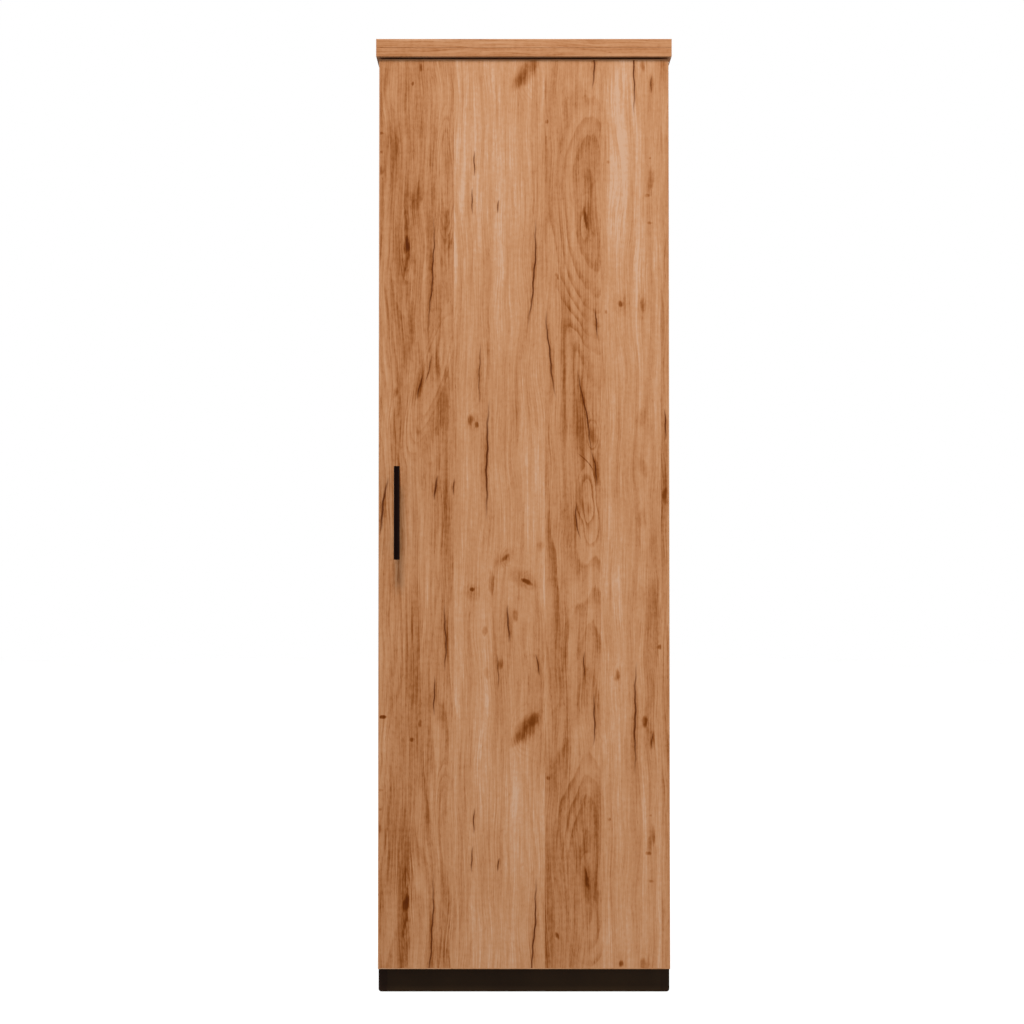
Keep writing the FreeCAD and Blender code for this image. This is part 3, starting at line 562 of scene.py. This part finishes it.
def turned(node, body, material, face, below, cross, seats):
    """Turned pieces with a driver's cross in the face, one at each seat, in millimetres.

    The face has a radius, a height and a fall to its rim, which grows with the fourth power of the radius.
    Below it the outline runs through pairs of radius and height. The cross has an arm's half width, a reach
    and a depth, and its flanks slope over a fifth of a millimetre. A seat is a place and an axis, and each
    piece is twisted further than the last. A ring of points is a radius times the cosine and sine of a turn.
    """
    face_rings, spokes, flank, twist_step = 24, 64, 2e-4, 0.9
    share = np.linspace(0.03, 1, face_rings)
    domed = np.stack([face[0] * share, face[1] - face[2] * share ** 4], 1)
    radius, height = np.concatenate([domed, below]).T[..., None] / 1000
    turn = np.arange(spokes) * 2 * np.pi / spokes
    u, v = radius * np.cos(turn), radius * np.sin(turn)
    half, reach, depth = np.array(cross) / 1000
    near, far = np.minimum(abs(u), abs(v)), np.maximum(abs(u), abs(v))
    sunk = depth * np.clip((half - near) / flank, 0, 1) * np.clip((reach - far) / flank, 0, 1)
    rise = height - np.where(np.arange(len(radius))[:, None] < face_rings, sunk, 0)
    places, axes = np.array(seats, float).transpose(1, 0, 2)[..., None, None, :]
    twist = np.arange(len(seats))[:, None, None, None] * twist_step
    right = np.roll(axes, 1, -1)
    right = np.cos(twist) * right + np.sin(twist) * np.cross(axes, right)
    points = places / 1000 + u[..., None] * right + v[..., None] * np.cross(axes, right)
    points = points + rise[..., None] * axes
    first = np.arange(len(seats))[:, None, None] * u.size
    quads = (first + ring_faces(*u.shape)).reshape(-1, 4)
    rim = np.arange(spokes)
    lids = np.concatenate([first[:, 0] + rim, first[:, 0] + u.size - 1 - rim])
    mesh = bpy.data.meshes.new(node + "_fine")
    mesh.from_pydata(points.reshape(-1, 3).tolist(), [], quads.tolist() + lids.tolist())
    mesh.polygons.foreach_set("use_smooth", np.ones(len(mesh.polygons), bool))
    mesh.set_sharp_from_angle(angle=math.radians(35))
    mesh.materials.append(material)
    piece = bpy.data.objects.new(node + "_fine", mesh)
    bpy.context.scene.collection.objects.link(piece)
    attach(piece, body)
    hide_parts(node)


both_sides = (-1, 1)
cam_rows = (-77.25, 117.75)
panel_cam_x, panel_undersides = 243, (50, 1156.4)
side_cam_x, side_cam_level = 277, 1860
cam_seats = [((side * panel_cam_x, row, level), (0, 0, -1))
             for side in both_sides for row in cam_rows for level in panel_undersides]
cam_seats += [((side * side_cam_x, row, side_cam_level), (-side, 0, 0))
              for side in both_sides for row in cam_rows]
turned("cam_locks", "cabinet", plated("die-cast zinc", "#a9abad", "#8c8f92", 0.42),
       face=(7.2, 0, 0), below=[(7.5, -0.3), (7.5, -13)], cross=(0.9, 4.6, 2.5), seats=cam_seats)
dress(plated("yellow zinc plate", "#c9bfa0", "#a89c7c", 0.35), "cam_bolts")
dress(raw_beech("raw beech"), "wooden_dowels")

# Loose shelves: three oak-look boards, each lying on four nickel-plated pins that are pushed into rows of
# bored holes in the sides. They and the fixed shelf have oak-look plastic edging glued on in front.
dress(oak_melamine("oak melamine, shelves", (0, 1, 0.25, -0.25), (1, 0, 0.45, 0.55)),
      "loose_shelf_1", "loose_shelf_2", "loose_shelf_3")
dress(oak_melamine("oak edging, shelves", (0, 0, 1, 0.0), (1, 0, 0, 0.7)), "shelf_edging")
dress(plated("nickel plate", "#cfcac2", "#b3aea6", 0.25), "shelf_pins")

# Hinges: four concealed hinges of pressed, riveted and nickel-plated steel. Their plates are screwed to the
# right-hand side, their arms to the plates, and their cups into bores in the door.
steel = plated("nickel-plated steel", "#cbc7c0", "#aaa69f", 0.24)
dress(steel, "hinge_plates", "hinge_arms", "hinge_cups", "inner_links", "outer_links", "arm_pins", "cup_pins")
hinge_levels = (158, 697.6, 1264.4, 1804)
cup_ear, cup_spread = (262, -168.75), 22.5
plate_face, plate_spread = (274.5, -130.25), 16
arm_face = (260.8, -119.25)
turned("cup_screws", "door", steel,
       face=(3.5, 1.2, 0.5), below=[(3.5, 0), (1.75, 0), (1.75, -12), (0.4, -13)], cross=(0.45, 2.1, 0.9),
       seats=[((*cup_ear, level + side * cup_spread), (0, 1, 0))
              for level in hinge_levels for side in both_sides])
turned("plate_screws", "cabinet", steel,
       face=(4.5, 1.5, 0.6), below=[(4.5, 0), (2.5, 0), (2.5, -13.5)], cross=(0.55, 2.6, 1.2),
       seats=[((*plate_face, level + side * plate_spread), (-1, 0, 0))
              for level in hinge_levels for side in both_sides])
turned("arm_screws", "cabinet", steel,
       face=(3.5, 1.5, 0.5), below=[(3.5, 0), (2, 0), (2, -7.45)], cross=(0.5, 2.2, 1.1),
       seats=[((*arm_face, level), (-1, 0, 0)) for level in hinge_levels])

# Door: one oak-look leaf with 2 mm plastic edging glued on all round, hung on the hinges.
# Two clear domed pads of soft polyurethane, stuck to its back, stop it on the left side.
dress(oak_melamine("oak melamine, door", (1, 6, 0, 1.1265), (0, -22, 1, -4.1305)), "door_panel")
dress(oak_melamine("oak edging, door", (0, 1, 0, 0.40), (1, 0, 1, 0.3)), "door_edging")


def clear_pad(name):
    """Soft clear polyurethane, a little cloudy, which lets the eye see the board through it."""
    cloud_width = 3
    material, tree = new_material(name)
    place = add_node(tree, "TexCoord", out="Object")
    cloud = add_node(tree, "TexNoise", place, Scale=1000 / cloud_width, Detail=2.0)
    gloss = add_node(tree, "MapRange", cloud, 0.3, 0.7, 0.15, 0.3)
    pad = add_node(tree, "BsdfPrincipled", linear("#e8e8e2"), Roughness=gloss, Transmission_Weight=0.7,
                   IOR=1.48)
    add_node(tree, "OutputMaterial", pad)
    return material


door_back = -169.75
pad_x, pad_levels = -286, (90, 1850)
turned("door_bumpers", "door", clear_pad("clear polyurethane"),
       face=(5, 2.5, 1.8), below=[(5, 0)], cross=(0, 0, 0),
       seats=[((pad_x, door_back, level), (0, 1, 0)) for level in pad_levels])

# Handle: a round steel bar on two posts, powder-coated satin black.
# Two nickel-plated screws go through the door from behind into the posts.


def powder_coat(name, shade, worn_shade):
    """Satin powder coat, which gives the eye a deep black with a soft shine that changes a little.

    Orange peel stands in the bump. Widths are in millimetres.
    """
    peel_width, cloud_width = 0.6, 30
    material, tree = new_material(name)
    place = add_node(tree, "TexCoord", out="Object")
    peel = add_node(tree, "TexNoise", place, Scale=1000 / peel_width, Detail=1.0)
    cloud = add_node(tree, "TexNoise", place, Scale=1000 / cloud_width, Detail=3.0)
    tone = add_node(tree, "ValToRGB", cloud, stops=[(0.4, linear(shade)), (0.8, linear(worn_shade))])
    gloss = add_node(tree, "MapRange", cloud, 0.3, 0.7, 0.38, 0.3)
    relief = add_node(tree, "Bump", Strength=0.1, Distance=0.0001, Height=peel)
    coat = add_node(tree, "BsdfPrincipled", tone, Roughness=gloss, Normal=relief, Specular_IOR_Level=0.08)
    add_node(tree, "OutputMaterial", coat)
    return material


handle_x, post_levels = -255.5, (903, 1031)
dress(powder_coat("black powder coat", "#120301", "#180603"), "handle_bar", "handle_posts")
turned("handle_screws", "door", steel,
       face=(4, 1.5, 0.6), below=[(4, 0), (2, 0), (2, -28)], cross=(0.55, 2.5, 1.2),
       seats=[((handle_x, door_back, level), (0, 1, 0)) for level in post_levels])

# Studio: a pale floor, a strong soft light high in front, weaker ones from the right and from behind, and a
# white surround. The floor glows and the surround is brighter where the camera looks at them, so that both
# come out white, but they light the cabinet less. The camera stands where the photograph was taken from.


def studio_floor(radius):
    """A flat disc of quads, in metres: each ring of points is a reach times the cosine and sine of the turn.

    The rings stop at a small hole in the middle, under the cabinet.
    """
    rings, spokes, hole = 5, 48, 0.001
    reach = np.linspace(hole, radius, rings)[:, None]
    turn = np.arange(spokes) * 2 * np.pi / spokes
    points = np.stack([reach * np.cos(turn), reach * np.sin(turn), 0 * reach * turn], -1).reshape(-1, 3)
    mesh = bpy.data.meshes.new("studio floor")
    mesh.from_pydata(points.tolist(), [], ring_faces(rings, spokes).tolist())
    return mesh


floor = bpy.data.objects.new("studio_floor", studio_floor(14.0))
bpy.context.scene.collection.objects.link(floor)
pale, floor_tree = new_material("pale floor")
dust_width = 500
floor_place = add_node(floor_tree, "TexCoord", out="Object")
dust = add_node(floor_tree, "TexNoise", floor_place, Scale=1000 / dust_width, Detail=2.0)
floor_tone = add_node(floor_tree, "ValToRGB", dust,
                      stops=[(0.3, linear("#949493")), (0.7, linear("#9b9b9a"))])
seen_floor = add_node(floor_tree, "LightPath", out="Is Camera Ray")
glow = add_node(floor_tree, "Math", seen_floor, 0.85, operation="MULTIPLY")
floor_skin = add_node(floor_tree, "BsdfPrincipled", floor_tone, Roughness=0.8, Specular_IOR_Level=0.1,
                      Emission_Color=linear("#ffffff"), Emission_Strength=glow)
add_node(floor_tree, "OutputMaterial", floor_skin)
floor.data.materials.append(pale)


def soft_light(name, place, target, size, power):
    """A soft box that faces a target: places and its width and height in metres, its power in watts.

    It tilts by the angle of the rise over the level distance to the target, and turns by the level direction.
    """
    lamp = bpy.data.lights.new(name, "AREA")
    lamp.shape = "RECTANGLE"
    lamp.size, lamp.size_y = size
    lamp.energy = power
    box = bpy.data.objects.new(name, lamp)
    bpy.context.scene.collection.objects.link(box)
    aim = np.array(target) - np.array(place)
    tilt = math.atan2(aim[2], math.hypot(aim[0], aim[1]))
    box.location = place
    box.rotation_euler = (math.pi / 2 + tilt, 0, math.atan2(-aim[0], aim[1]))


soft_light("key_light", place=(-0.7, -5.1, 9.7), target=(0.0, 0.0, 1.1), size=(3.0, 2.2), power=1150.0)
soft_light("side_light", place=(2.6, -1.6, 1.3), target=(0.0, -0.2, 1.0), size=(0.5, 2.2), power=14.0)
soft_light("back_light", place=(1.6, 3.4, 2.8), target=(0.0, 0.2, 1.0), size=(1.6, 1.6), power=90.0)

world = bpy.data.worlds.new("white surround")
bpy.context.scene.world = world
world.use_nodes = True
world.node_tree.nodes.clear()
seen = add_node(world.node_tree, "LightPath", out="Is Camera Ray")
around = add_node(world.node_tree, "Background", linear("#ffffff"), 0.35)
white = add_node(world.node_tree, "Background", linear("#ffffff"), 1.0)
surround = add_node(world.node_tree, "MixShader", seen, around, white)
add_node(world.node_tree, "OutputWorld", surround)

camera_place, camera_tilt = (-0.02415, -4.24932, 0.87315), 1.3586
camera_data = bpy.data.cameras.new("camera")
camera_data.sensor_width = 36.0
camera_data.lens = 70.65
camera = bpy.data.objects.new("camera", camera_data)
bpy.context.scene.collection.objects.link(camera)
camera.location = camera_place
camera.rotation_euler = (math.radians(90 + camera_tilt), 0, 0)
bpy.context.scene.camera = camera
bpy.context.scene.view_settings.view_transform = "Standard"
